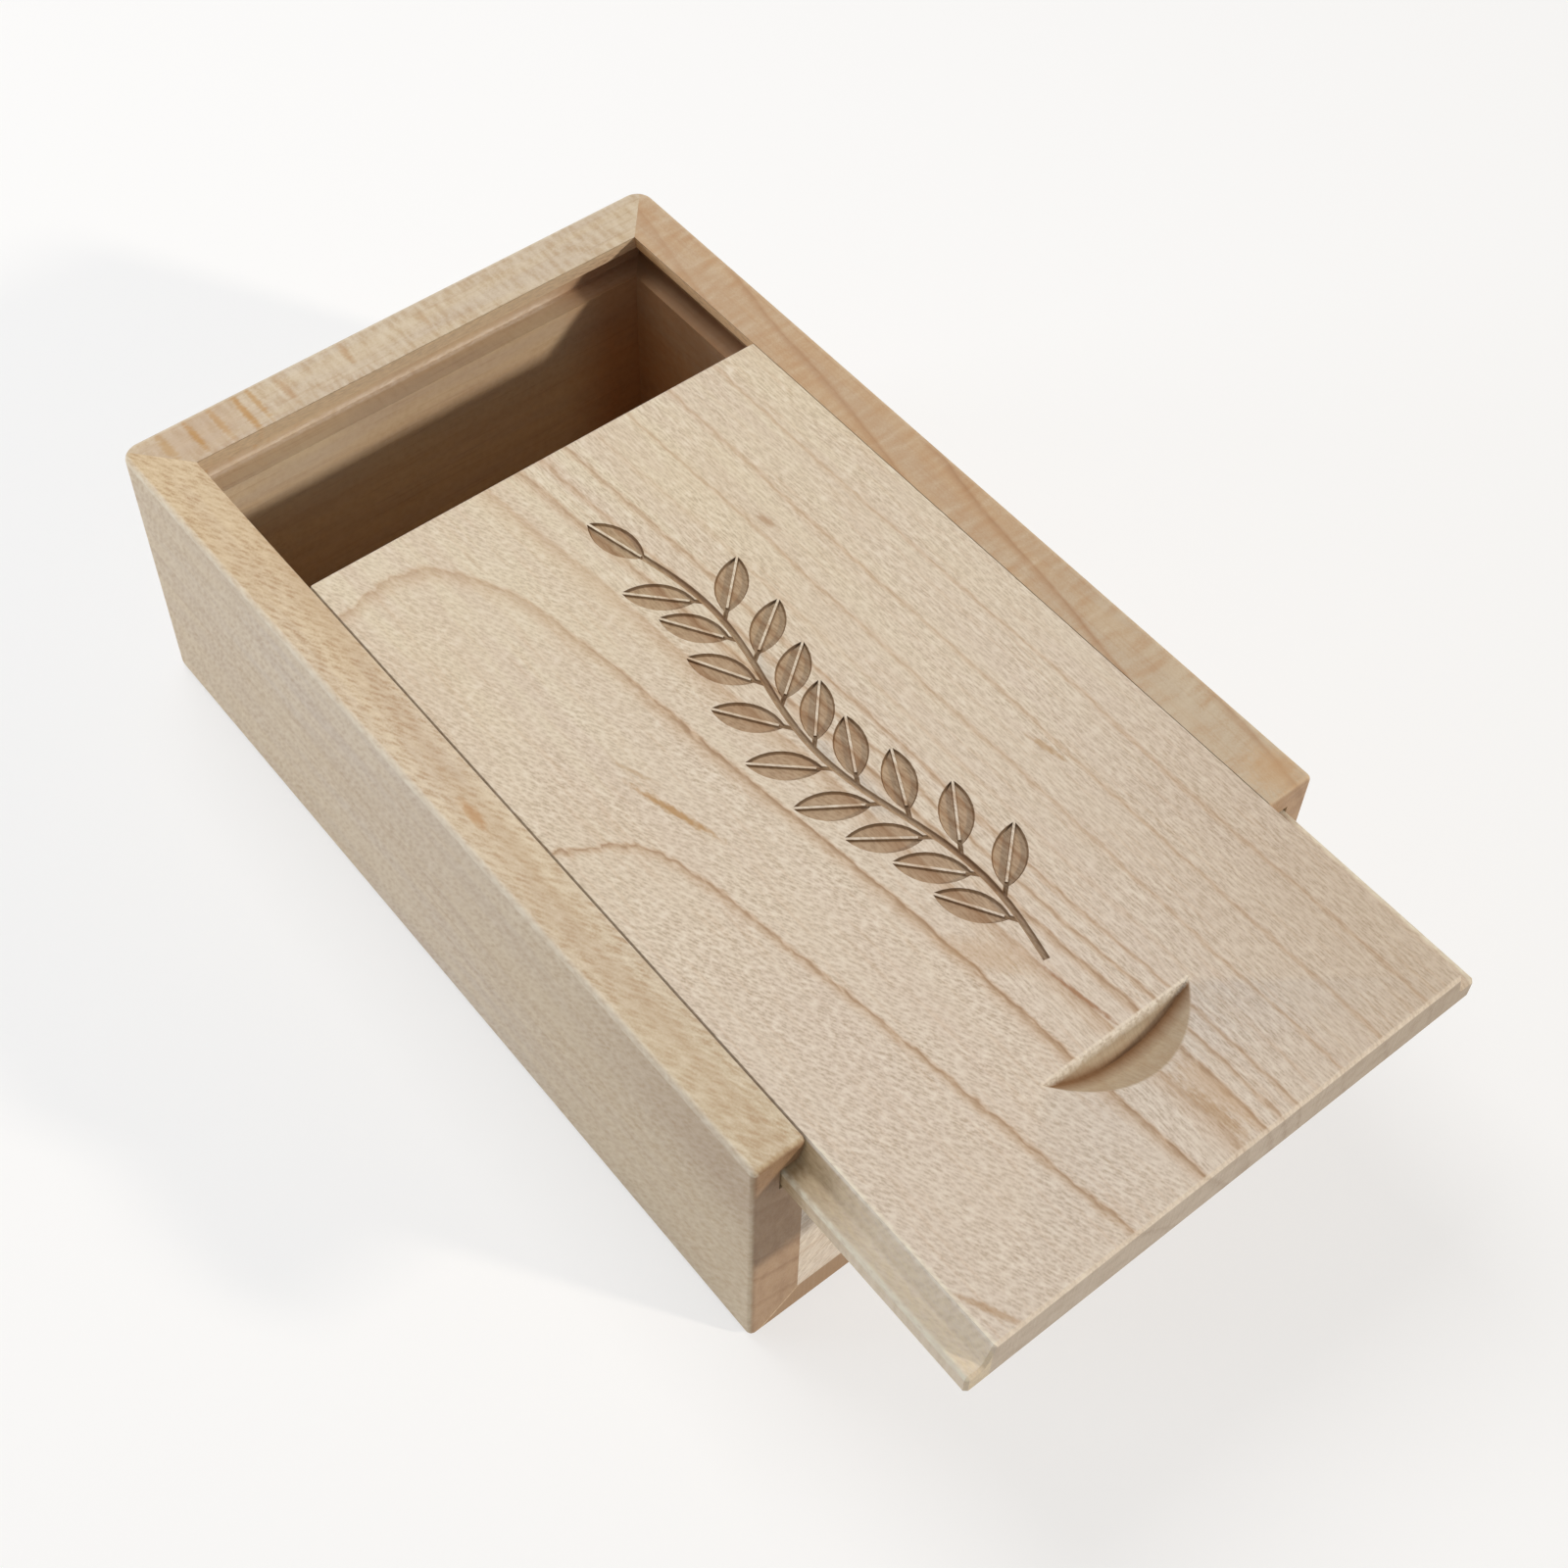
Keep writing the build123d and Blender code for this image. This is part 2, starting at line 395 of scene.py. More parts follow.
# Painted shade over the front right of the top, parts of the top, and the drawing with its
# browned sides and its floor
FRONT_RIGHT_SHADE = [("X", 2.0, 20.0), ("Y", -22.0, -48.0)]
BACK_LEFT = [("X", 4.0, -8.0), ("Y", -10.0, 6.0)]
RIGHT_PART = [("X", 4.0, 11.0)]
DRAWN = [("side", 9.0, 8.8), ("Y", -43.8, -43.6), ("Y", 13.4, 13.2), ("Z", 26.8, 26.9)]
DRAWN_SIDES = DRAWN + [("Z", 27.49, 27.44), ("Z", 27.26, 27.3)]
DRAWN_FLOOR = DRAWN + [("Z", 27.32, 27.27)]
print("the notch starts", NOTCH[1][2], "mm along the box, and the drawing", DRAWN[1][2])

# %% [markdown]
# ## The maple finish
#
# Fine-sanded maple without lacquer: a pale cream ground that drifts between warm and pinkish
# over a few millimetres, the ripple of the rays, tan lines of late wood with a broken dark
# core, and a soft, almost dull surface. A sawn end soaks up more light, so it is browner, and
# shows pores as dots. The ripple and the rings also stand a few hundredths of a millimetre
# high, because soft wood sands away faster than hard. Each function below adds one of these to
# the colour that the wood has so far.

# %% Ground
FORE_SHARE = 0.75
FIBRE_SHARE = 0.22


def ground(tree, board, v, cut, tones):
    """Cream wood that drifts between rosy and warm, with fine fibres. Gives both."""
    drift = patches(tree, board, (1.8, 16.0, 1.8), low=0.36, high=0.64)
    wood = add(tree, "Mix", {"Factor": drift, "A": colour(tones["ground"]), "B": colour(tones["rosy"])},
               data_type="RGBA")
    broad = patches(tree, board, (12.0, 34.0, 12.0), low=0.3, high=0.7, detail=1.0)
    broad = add(tree, "Math", {0: broad, 1: tones["warm_share"]}, operation="MULTIPLY")
    wood = add(tree, "Mix", {"Factor": broad, "A": wood, "B": colour(tones["warm"])}, data_type="RGBA")
    if "fore" in cut:
        start, full = cut["fore"]
        fore = add(tree, "MapRange", {0: v, 1: start, 2: full, 4: FORE_SHARE})
        wood = add(tree, "Mix", {"Factor": fore, "A": wood, "B": colour(tones["fore"])},
                   data_type="RGBA")
    fibre = patches(tree, board, (0.3, 8.0, 0.3), low=0.5, high=0.75)
    part = add(tree, "Math", {0: fibre, 1: FIBRE_SHARE}, operation="MULTIPLY")
    wood = add(tree, "Mix", {"Factor": part, "A": wood, "B": colour(tones["ring"])}, data_type="RGBA")
    return wood, fibre


print("ground drifts over", FORE_SHARE, "of the way to its front tone")

# %% Rays and rings on the ground
DASH_FULL, GLINT_FULL = -0.22, 0.24


def calmness(tree, known, cut):
    """1 on plain wood, and less in the places where rays and rings hardly show."""
    plain = add(tree, "Value")
    plain.outputs[0].default_value = 1.0
    for limits, left in cut["calm"]:
        calm = add(tree, "MapRange", {0: window(tree, known, limits), 3: 1.0, 4: left})
        plain = add(tree, "Math", {0: plain, 1: calm}, operation="MULTIPLY")
    return plain


def with_rays(tree, wood, board, ripple, plain, tones):
    """The wood with the dark dashes of its ripple, and the pale glints between them."""
    figure = patches(tree, board, (2.4, 8.0, 2.4), low=0.3, high=0.7)
    figure = add(tree, "MapRange", {0: figure, 3: 0.65, 4: 1.0})
    figure = add(tree, "Math", {0: figure, 1: plain}, operation="MULTIPLY")
    for tone, full in (("dash", DASH_FULL), ("glint", GLINT_FULL)):
        part = add(tree, "MapRange", {0: ripple, 1: 0.0, 2: full, 4: tones[tone + "_share"]})
        part = add(tree, "Math", {0: part, 1: figure}, operation="MULTIPLY")
        wood = add(tree, "Mix", {"Factor": part, "A": wood, "B": colour(tones[tone])},
                   data_type="RGBA")
    return wood


def with_rings(tree, wood, board, rings, tones):
    """The wood with its rings: a soft tan side and a dark core that is broken into dashes."""
    soft = add(tree, "Math", {0: rings, 1: tones["ring_share"]}, operation="MULTIPLY")
    wood = add(tree, "Mix", {"Factor": soft, "A": wood, "B": colour(tones["ring"])}, data_type="RGBA")
    core = add(tree, "Math", {0: rings, 1: 3.0}, operation="POWER")
    broken = patches(tree, board, (0.4, 1.6, 0.4), low=0.25, high=0.55)
    core = add(tree, "Math", {0: core, 1: broken}, operation="MULTIPLY")
    core = add(tree, "Math", {0: core, 1: tones["core_share"]}, operation="MULTIPLY")
    return add(tree, "Mix", {"Factor": core, "A": wood, "B": colour(tones["core"])}, data_type="RGBA")


print("a dash is full at", DASH_FULL, "and a glint at", GLINT_FULL)

# %% Streaks, sawn ends and places
RAGGED = -0.4
PORES_PER_MM = (3.4, 0.5, 3.4)


def with_streaks(tree, wood, board, worn, cut):
    """The wood with short brown streaks, whose edges are ragged."""
    for at, size, turned, code, share in cut["streaks"]:
        near = add(tree, "Mapping", {"Vector": board, "Location": at, "Scale": size,
                                     "Rotation": (0, 0, math.radians(turned))},
                   vector_type="TEXTURE")
        far = add(tree, "VectorMath", {0: near}, operation="LENGTH")
        far = add(tree, "Math", {0: worn, 1: RAGGED, 2: far}, operation="MULTIPLY_ADD")
        part = add(tree, "MapRange", {0: far, 1: 0.8, 2: 0.0, 4: share},
                   interpolation_type="SMOOTHSTEP")
        wood = add(tree, "Mix", {"Factor": part, "A": wood, "B": colour(code)}, data_type="RGBA")
    return wood


def with_sawn_ends(tree, wood, board, rings, cut, tones):
    """The wood, with browner end grain and its pores on faces that look along the board."""
    normal = add(tree, "SeparateXYZ", {0: add(tree, "TexCoord").outputs["Normal"]})
    facing = add(tree, "Math", {0: normal.outputs["XYZ".index(cut["axes"][1])]}, operation="ABSOLUTE")
    sawn = add(tree, "MapRange", {0: facing, 1: 0.6, 2: 0.9})
    pores = add(tree, "VectorMath", {0: board, 1: PORES_PER_MM}, operation="MULTIPLY")
    pores = add(tree, "TexVoronoi", {"Vector": pores, "Scale": 1.0})
    pores = add(tree, "MapRange", {0: pores, 1: 0.45, 2: 0.1, 4: 0.25})
    cloud = patches(tree, board, (2.2, 9.0, 1.0), low=0.4, high=0.7)
    cloud = add(tree, "Math", {0: cloud, 1: 0.35}, operation="MULTIPLY")
    half = add(tree, "Math", {0: rings, 1: 0.5}, operation="MULTIPLY")
    dark = add(tree, "Math", {0: pores, 1: cloud}, operation="ADD")
    dark = add(tree, "Math", {0: dark, 1: half}, operation="ADD")
    end_wood = add(tree, "Mix", {"Factor": dark, "A": colour(tones["end"]),
                                 "B": colour(tones["end_ring"])}, data_type="RGBA")
    return add(tree, "Mix", {"Factor": sawn, "A": wood, "B": end_wood}, data_type="RGBA")


def with_places(tree, wood, known, worn, cut):
    """The wood with its tinted places, some of them painted shade, and with its paler places,
    worn edges and painted highlights, which are broken up here and there.
    """
    for limits, code in cut["tinted"]:
        share = window(tree, known, limits)
        wood = add(tree, "Mix", {"Factor": share, "A": wood, "B": colour(code)}, data_type="RGBA",
                   blend_type="MULTIPLY")
    broken_up = add(tree, "MapRange", {0: worn, 3: 0.25, 4: 1.0})
    # Worn edges, and painted highlights on lit edges, lips and the bottom of a groove
    for limits, code, most in cut["eased"]:
        share = add(tree, "Math", {0: window(tree, known, limits), 1: most}, operation="MULTIPLY")
        share = add(tree, "Math", {0: share, 1: broken_up}, operation="MULTIPLY")
        wood = add(tree, "Mix", {"Factor": share, "A": wood, "B": colour(code)}, data_type="RGBA")
    return wood


print("there are", PORES_PER_MM[0], "pores to the millimetre")

# %% The whole finish
RELIEF = 0.00004


def maple(name, cut, tones):
    """Fine-sanded maple with a board's own cut and tones. RELIEF is its height in metres."""
    material = bpy.data.materials.new(name)
    material.use_nodes = True
    tree = material.node_tree
    tree.nodes.clear()
    places, place, board = directions(tree, cut)
    known = known_places(tree, places, cut)
    plain = calmness(tree, known, cut)
    ripple = ray_ripple(tree, board, place[0], cut)
    rings = add(tree, "Math", {0: all_rings(tree, board, place, cut), 1: plain}, operation="MULTIPLY")
    worn = patches(tree, board, (0.25, 0.7, 0.25), low=0.2, high=0.8)

    wood, fibre = ground(tree, board, place[1], cut, tones)
    wood = with_rays(tree, wood, board, ripple, plain, tones)
    wood = with_rings(tree, wood, board, rings, tones)
    wood = with_streaks(tree, wood, board, worn, cut)
    wood = with_sawn_ends(tree, wood, board, rings, cut, tones)
    wood = with_places(tree, wood, known, worn, cut)

    height = add(tree, "Math", {0: fibre, 1: 0.5, 2: ripple}, operation="MULTIPLY_ADD")
    height = add(tree, "Math", {0: rings, 1: -0.4, 2: height}, operation="MULTIPLY_ADD")
    bump = add(tree, "Bump", {"Strength": 0.5, "Distance": RELIEF, "Height": height})
    rough = add(tree, "MapRange", {0: ripple, 1: -0.25, 2: 0.25, 3: 0.68, 4: 0.5})
    shader = add(tree, "BsdfPrincipled", {"Base Color": wood, "Roughness": rough, "IOR": 1.45,
                                          "Specular IOR Level": 0.35, "Normal": bump})
    add(tree, "OutputMaterial", {0: shader})
    print(name, "has", len(tree.nodes), "nodes")
    return material


# %% [markdown]
# ## The lid's maple
#
# The lid is sawn near the side of the tree. Two arches turn over near its left edge, one close
# to the back and one halfway down, and the other rings run nearly straight beside them.
#
# A cut says what one board is like, in millimetres and degrees. Its axes are the letters of u,
# v and w, and its face is where the outer face lies along w. The slope says between which two
# places along u the rings change their lean, and from what to what. A ring is a place, a
# strength and a width. An arch is the corner's two lines, each a place and a tilt, then how
# wide its bend is, its strength and its width. For each millimetre under the face, a ring moves
# along u by the dip, and an arch moves along v by one over the taper. The tone drifts along v
# to the one called fore. A streak is a place, half a size, a turn, a colour and a strength.

# %% The lid's maple
LID_CUT = {
    "axes": "XYZ", "face": RIM, "dip": 0.3, "taper": 0.12, "wander": 1.1,
    "slope": (-4.0, 9.0, 0.085, 0.014),
    "rings": [(-2.0, 0.8, 1.9), (0.8, 1.0, 0.9), (2.5, 0.95, 0.5), (4.4, 0.9, 0.5), (6.9, 0.4, 0.4),
              (9.8, 0.8, 0.38), (13.9, 0.8, 0.38), (18.8, 0.78, 0.38)],
    "arches": [(-8.2, -0.064, 27.0, 0.489, 7.43, 1.0, 1.2),
               (-15.42, -0.12, -15.2, -0.374, 1.71, 0.95, 0.8)],
    "slants": (22.0, 1.0), "turn": (-1.0, 2.0), "rays": [(0.24, 0.78, 1.0), (0.2, 1.1, 1.0)],
    "rolls": (0.0, 0.0), "mingle": 6.0, "ribbon": "2D", "fore": (12.0, -45.0),
    "calm": [(SHOULDER, 0.6), (NOTCH, 0.35), (BACK_LEFT, 0.75), (RIGHT_PART, 0.9)],
    "streaks": [
        ((-13.2, -15.4, RIM), (0.5, 6.0, 6), 16.0, "AD8655", 0.85),
        ((-13.4, -10.5, RIM), (0.28, 3.2, 6), 20.0, "A98962", 0.5),
        ((10.7, 3.3, RIM), (0.6, 1.8, 6), 8.0, "A98868", 0.7),
        ((13.1, -28.3, RIM), (0.45, 2.6, 6), 10.0, "B08F68", 0.7),
        ((-0.1, -46.3, RIM), (0.3, 5.2, 6), 8.0, "976B45", 0.85),
        ((-3.2, -39.4, RIM), (1.7, 4.8, 6), 30.0, "BA9872", 0.4),
        ((1.9, -57.6, RIM), (1.3, 6.5, 6), 6.0, "BC9A76", 0.45),
        ((0.9, -59.0, RIM), (0.7, 5.5, 6), 6.0, "A98458", 0.6),
        ((-21.3, -60.2, RIM), (0.45, 4.0, 6), 26.0, "A68157", 0.6),
    ],
    # The notch is browner where the cutter rubbed it and has painted shade too; its crease, the front
    # right and the shoulder by the left wall are painted shade. The arrises and the tongue's edge are
    # worn paler and carry a painted highlight.
    "tinted": [(NOTCH, "D2C8B5"), (VALLEY_SHADOW, "B5977A"), (DRAWN_SIDES, "A3907A"), (DRAWN_FLOOR, "CFBFAD"),
               (FRONT_RIGHT_SHADE, "F1EDE7"), (WALL_SHADOW, "CDB898")],
    "eased": [(SHOULDER, "E0D0AC", 0.5), (CHORD, "EDE0CC", 1.0), (LONG_ARRIS, "EAE3D0", 0.8),
              (FRONT_ARRIS, "EDE1D0", 0.6), (TONGUE_EDGE, "E6E0CC", 0.8)],
}
LID_TONES = {
    "ground": "D6C8B0", "rosy": "D0BFAA", "warm": "D4C3A6", "warm_share": 0.5, "fore": "D4C5B7",
    "dash": "A18C72", "dash_share": 0.55, "glint": "EDE4D4", "glint_share": 0.5,
    "ring": "C09D79", "ring_share": 0.55, "core": "90704F", "core_share": 0.8,
    "end": "B1A597", "end_ring": "9A8A7A",
}
lid_maple = maple("maple_fine_sanded_lid", LID_CUT, LID_TONES)

# %% The side boards' maple
LEFT_CUT = {
    "axes": "ZYX", "face": -27.5, "dip": 0.4, "taper": 0.25, "wander": 1.4,
    "slope": (5.0, 22.0, -0.06, -0.016),
    "rings": [(7.5, 0.85, 0.8), (11.6, 1.0, 0.6), (14.8, 0.95, 1.4), (22.0, 0.75, 1.0),
              (28.6, 0.6, 0.9)],
    "arches": [],
    "slants": (49.0, 4.0), "turn": (27.0, 27.3), "rays": [(0.4, 1.7, 0.23), (0.6, 1.25, 0.3)],
    "rolls": (12.0, 24.0), "mingle": 0.3, "ribbon": "3D", "fore": (-5.0, -40.0),
    "calm": [(INSIDE, 0.35), (LONG_FACE, 0.5)],
    "streaks": [((27.5, -6.3, -25.3), (6, 2.6, 0.7), 0.0, "B98F62", 0.7)],
    # The deep inside and the top of the front end are painted shade; the rim's outer edge is worn paler
    # and carries a painted highlight.
    "tinted": [(DEEP_SHADE, "FFEFD6"), (END_TOP_SHADE, "E4DCD0"), (TOP_REAR, "F8F1E4"), (FACE_FRONT, "EEE9EA")],
    "eased": [(RIM_EDGE, "E6DCC8", 0.6)],
}
LEFT_TONES = {
    "ground": "D4C4AC", "rosy": "CDBDA9", "warm": "CFBA99", "warm_share": 0.5, "fore": "C6B599",
    "dash": "AA8866", "dash_share": 0.62, "glint": "E8DBC4", "glint_share": 0.55,
    "ring": "B79A7A", "ring_share": 0.5, "core": "94765A", "core_share": 0.4,
    "end": "A98F75", "end_ring": "8B6E55",
}
left_maple = maple("maple_fine_sanded_left", LEFT_CUT, LEFT_TONES)

RIGHT_CUT = {
    "axes": "XYZ", "face": RIM, "dip": 0.5, "taper": 0.2, "wander": 1.6,
    "slope": (0.0, 30.0, -0.15, -0.15),
    "rings": [(6.0, 0.6, 1.2), (9.5, 0.5, 1.0), (12.5, 0.6, 1.2), (16.0, 0.6, 1.0), (20.0, 0.8, 0.8),
              (24.0, 0.9, 0.8), (29.2, 0.8, 0.8)],
    "arches": [],
    "slants": (84.0, 96.0), "turn": (25.0, 31.0), "rays": [(0.9, 4.0, 0.8), (0.9, 4.0, 0.8)],
    "rolls": (0.0, 0.0), "mingle": 6.0, "ribbon": "3D", "fore": (-15.0, -33.0),
    "calm": [(INSIDE, 0.35)],
    "streaks": [((25.4, -40.8, RIM), (3.0, 3.8, 6), 0.0, "C29C72", 0.5)],
    # The inside, its deep part and the back corner are painted shade; the lip is painted lighter as
    # painted light where it is lit, and the rim's outer edge is worn paler and carries a painted
    # highlight.
    "tinted": [(INSIDE, "F2E8E2"), (DEEP_SHADE, "FFEFD6"), (SIDE_CORNER, "F6E8D8")],
    "eased": [(RIM_EDGE, "D9C6A8", 0.4), (LIT_SIDE_LIP, "F4D0A0", 1.6)],
}
RIGHT_TONES = {
    "ground": "BCA385", "rosy": "B8A48C", "warm": "BC9A76", "warm_share": 0.55, "fore": "C2B199",
    "dash": "AE8258", "dash_share": 0.5, "glint": "D2C4AB", "glint_share": 0.5,
    "ring": "A9805B", "ring_share": 0.6, "core": "8F6A49", "core_share": 0.5,
    "end": "A98F75", "end_ring": "8B6E55",
}
right_maple = maple("maple_fine_sanded_right", RIGHT_CUT, RIGHT_TONES)

# %% The end boards' and the bottom's maple
BACK_CUT = {
    "axes": "ZXY", "face": 43.0, "dip": 0.3, "taper": 0.2, "wander": 1.6,
    "slope": (0.0, 30.0, 0.03, 0.03),
    "rings": [(4.0, 0.5, 1.2), (9.5, 0.6, 1.2), (14.0, 0.7, 1.2), (19.0, 0.6, 1.0), (24.0, 0.6, 1.2)],
    "arches": [],
    "slants": (0.0, 0.0), "turn": (0.0, 27.0), "rays": [(0.6, 0.62, 1.7), (0.6, 0.62, 1.7)],
    "rolls": (0.0, 0.0), "mingle": 6.0, "ribbon": "3D", "calm": [(INSIDE, 0.35)],
    "streaks": [
        ((27.5, -21.5, 40.4), (6, 8.5, 5.0), 0.0, "C2A488", 0.5),
        ((27.5, -24.0, 40.6), (6, 0.7, 2.8), 0.0, "BE965C", 0.6),
        ((27.5, -21.4, 40.4), (6, 0.5, 3.2), 0.0, "BC8D4C", 0.75),
        ((27.5, -19.0, 40.6), (6, 0.5, 3.6), 0.0, "C0945A", 0.6),
        ((27.5, -16.6, 40.2), (6, 0.5, 4.2), 0.0, "BE8F4F", 0.75),
        ((27.5, -15.2, 40.8), (6, 0.4, 4.0), 0.0, "BE9152", 0.65),
        ((27.5, -12.4, 40.6), (6, 0.6, 2.8), 0.0, "B98F62", 0.5),
        ((27.5, -6.0, 41.2), (6, 0.5, 2.4), 0.0, "BA9166", 0.5),
        ((27.5, 1.8, 40.4), (6, 0.4, 1.6), 0.0, "BE9A72", 0.4),
    ],
    # The deep inside and the right corner are painted shade; the groove's bottom has a painted
    # highlight, the lip is painted lighter where it is lit, and the rim's outer edge is worn paler and
    # carries a painted highlight.
    "tinted": [(WALL_MIDDLE, "F3EDE7"), (DEEP_SHADE, "FFEFD6"), (CORNER, "DDBFA8"), (TOP, "F1F1F1")],
    "eased": [(BACK_RIM_EDGE, "E4D7C0", 0.5), (GROOVE, "F0DCC4", 0.12), (GROOVE_HIGHLIGHT, "E6DCD2", 0.9),
              (LIP, "EFDABC", 0.95)],
}
BACK_TONES = {
    "ground": "D4C2A7", "rosy": "CEBDA8", "warm": "D0BA98", "warm_share": 0.5,
    "dash": "AF8B62", "dash_share": 0.45, "glint": "E6D9C3", "glint_share": 0.5,
    "ring": "A57C5A", "ring_share": 0.5, "core": "8A6544", "core_share": 0.4,
    "end": "A98F75", "end_ring": "8B6E55",
}
back_maple = maple("maple_fine_sanded_back", BACK_CUT, BACK_TONES)

FRONT_CUT = dict(BACK_CUT, face=-43.0, streaks=(), slants=(-43.0, -43.0), tinted=[], eased=[],
                 rays=[(0.22, 1.0, 0.8), (0.22, 1.0, 0.8)])
FRONT_TONES = dict(LID_TONES, ground="DAD1C6", rosy="D6CCC0", warm="D4CABB", dash_share=0.5,
                   ring_share=0.2)
front_maple = maple("maple_fine_sanded_front", FRONT_CUT, FRONT_TONES)

# The bottom's inside is tinted browner as painted shade.
BOTTOM_CUT = dict(LID_CUT, streaks=(), face=0.0, calm=[(INSIDE, 0.35)], tinted=[(INSIDE, "E9CEB2")],
                  eased=[(MITRE, "DCC8AC", 0.8)])
BOTTOM_TONES = dict(LEFT_TONES, fore="CDBCA6", end="A0856A", end_ring="9C8166")
bottom_maple = maple("maple_fine_sanded_bottom", BOTTOM_CUT, BOTTOM_TONES)

# %% Give each board its wood
FINISHES = {
    "lid": lid_maple, "left_side": left_maple, "right_side": right_maple,
    "back_end": back_maple, "front_end": front_maple, "bottom_board": bottom_maple,
}
for name, finish in FINISHES.items():
    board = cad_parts[name]
    if not board.material_slots:
        board.data.materials.append(finish)
    for slot in board.material_slots:
        slot.material = finish
    print(name, "wears", finish.name)

# %% [markdown]
# ## The cut ornament
#
# A laser can sink a drawing a quarter of a millimetre into a lid. This one is a plain leafy
# sprig: a stem in gentle waves, and leaves on both sides, each in two halves with its midrib
# left standing. It is a real recess. Half a leaf is an arc, made by spinning one point, and its
# chord. All the shapes stand as thin blocks in the lid's top, with sloping sides, and a boolean
# takes them out of a copy of the lid.

# %% The sprig's measures
STEM_FOOT, STEM_TIP, STEM_MIDDLE = -42.5, 6.0, 0.1
STEM_WAVE, WAVE_LENGTH = 1.3, 33.0
STEM_WIDTH, TWIG_WIDTH = 0.6, 0.42
LEAF_LENGTH, LEAF_BELLY, MIDRIB = 6.0, 1.3, 0.2
FIRST_LEAF, LAST_LEAF, LEAF_STEP, LEAF_ANGLE = -39.0, 3.0, 2.4, 42.0
TWIG, TWIG_OVERLAP, TIP_GAP = 0.9, 0.5, 0.3
CUT_DEPTH, CUT_SLOPE, STRAIGHT_DEPTH, ABOVE_TOP = 0.26, 0.17, 0.06, 0.1


def stem_at(along):
    """The stem's place at a height along the lid, in mm, and its direction there."""
    phase = 2 * math.pi * (along - STEM_FOOT) / WAVE_LENGTH
    lean = STEM_WAVE * 2 * math.pi / WAVE_LENGTH * math.cos(phase)
    place = Vector((STEM_MIDDLE + STEM_WAVE * math.sin(phase), along, RIM))
    return place, Vector((lean, 1, 0)).normalized()


print("the sprig is", STEM_TIP + LEAF_LENGTH - STEM_FOOT, "mm long")


# %% Leaves
def half_leaf(sprig, foot, ahead, side):
    """Half a leaf from its foot: an arc on one side of the midrib, closed by its chord."""
    across = Vector((ahead.y, -ahead.x, 0)) * side
    start = foot + across * MIDRIB / 2
    radius = (LEAF_LENGTH ** 2 / 4 + LEAF_BELLY ** 2) / (2 * LEAF_BELLY)
    centre = start + ahead * LEAF_LENGTH / 2 - across * (radius - LEAF_BELLY)
    sweep = 2 * math.asin(LEAF_LENGTH / 2 / radius)
    corner = bmesh.ops.create_vert(sprig, co=start)["vert"]
    bmesh.ops.spin(sprig, geom=corner, cent=centre, axis=(0, 0, 1), angle=side * sweep,
                   steps=10, use_merge=False)


def leaf(sprig, foot, ahead):
    """Both halves of a leaf, each filled with one face."""
    for side in (-1, 1):
        before = set(sprig.verts)
        half_leaf(sprig, foot, ahead, side)
        fresh = [v for v in sprig.verts if v not in before]
        outline = list(dict.fromkeys(e for v in fresh for e in v.link_edges))
        bmesh.ops.contextual_create(sprig, geom=fresh + outline)


sprig = bmesh.new()
twigs = []
count = int((LAST_LEAF - FIRST_LEAF) / LEAF_STEP)
for i in range(count):
    side = 1 if i % 2 else -1
    place, ahead = stem_at(FIRST_LEAF + i * LEAF_STEP)
    out = Matrix.Rotation(-side * math.radians(LEAF_ANGLE), 3, "Z") @ ahead
    leaf(sprig, place + out * TWIG, out)
    twigs.append((place, place + out * (TWIG + TWIG_OVERLAP)))
place, ahead = stem_at(STEM_TIP)
leaf(sprig, place + ahead * TIP_GAP, ahead)
print(count + 1, "leaves drawn")

# %% Sink the drawing into a block with sloping sides
bmesh.ops.recalc_face_normals(sprig, faces=sprig.faces)
bmesh.ops.translate(sprig, verts=sprig.verts, vec=(0, 0, ABOVE_TOP))
for face in sprig.faces:
    if face.normal.z > 0:
        face.normal_flip()
tops = list(sprig.faces)
sunk = bmesh.ops.extrude_face_region(sprig, geom=tops, use_keep_orig=True)["geom"]
lowered = [g for g in sunk if isinstance(g, bmesh.types.BMVert)]
bmesh.ops.translate(sprig, verts=lowered, vec=(0, 0, -ABOVE_TOP - STRAIGHT_DEPTH))
floors = [g for g in sunk if isinstance(g, bmesh.types.BMFace)]
bmesh.ops.inset_individual(sprig, faces=floors, thickness=CUT_SLOPE, depth=CUT_DEPTH - STRAIGHT_DEPTH)
bmesh.ops.recalc_face_normals(sprig, faces=sprig.faces)
bmesh.ops.scale(sprig, verts=sprig.verts, vec=(0.001, 0.001, 0.001))

leaf_mesh = bpy.data.meshes.new("leaf_cutter")
sprig.to_mesh(leaf_mesh)
sprig.free()
print("leaf cutter:", len(leaf_mesh.polygons), "faces")


# %% Stem and twigs are round grooves
STEM_STEP = 3.0


def groove(name, runs, width):
    """A round cutter along each run of points, half of it above the lid's top."""
    curve = bpy.data.curves.new(name, "CURVE")
    curve.dimensions = "3D"
    curve.bevel_depth = width / 2 / 1000
    curve.bevel_resolution = 2
    curve.use_fill_caps = True
    for points in runs:
        spline = curve.splines.new("NURBS")
        spline.points.add(len(points) - 1)
        for point, place in zip(spline.points, points):
            point.co = (*(place / 1000), 1)
        spline.order_u = 3
        spline.use_endpoint_u = True
    drawn = bpy.data.objects.new(name, curve)
    mesh = bpy.data.meshes.new_from_object(drawn)
    bpy.data.objects.remove(drawn)
    closed = bmesh.new()
    closed.from_mesh(mesh)
    bmesh.ops.remove_doubles(closed, verts=closed.verts, dist=1e-7)
    bmesh.ops.recalc_face_normals(closed, faces=closed.faces)
    closed.to_mesh(mesh)
    closed.free()
    return in_scene(name, mesh)


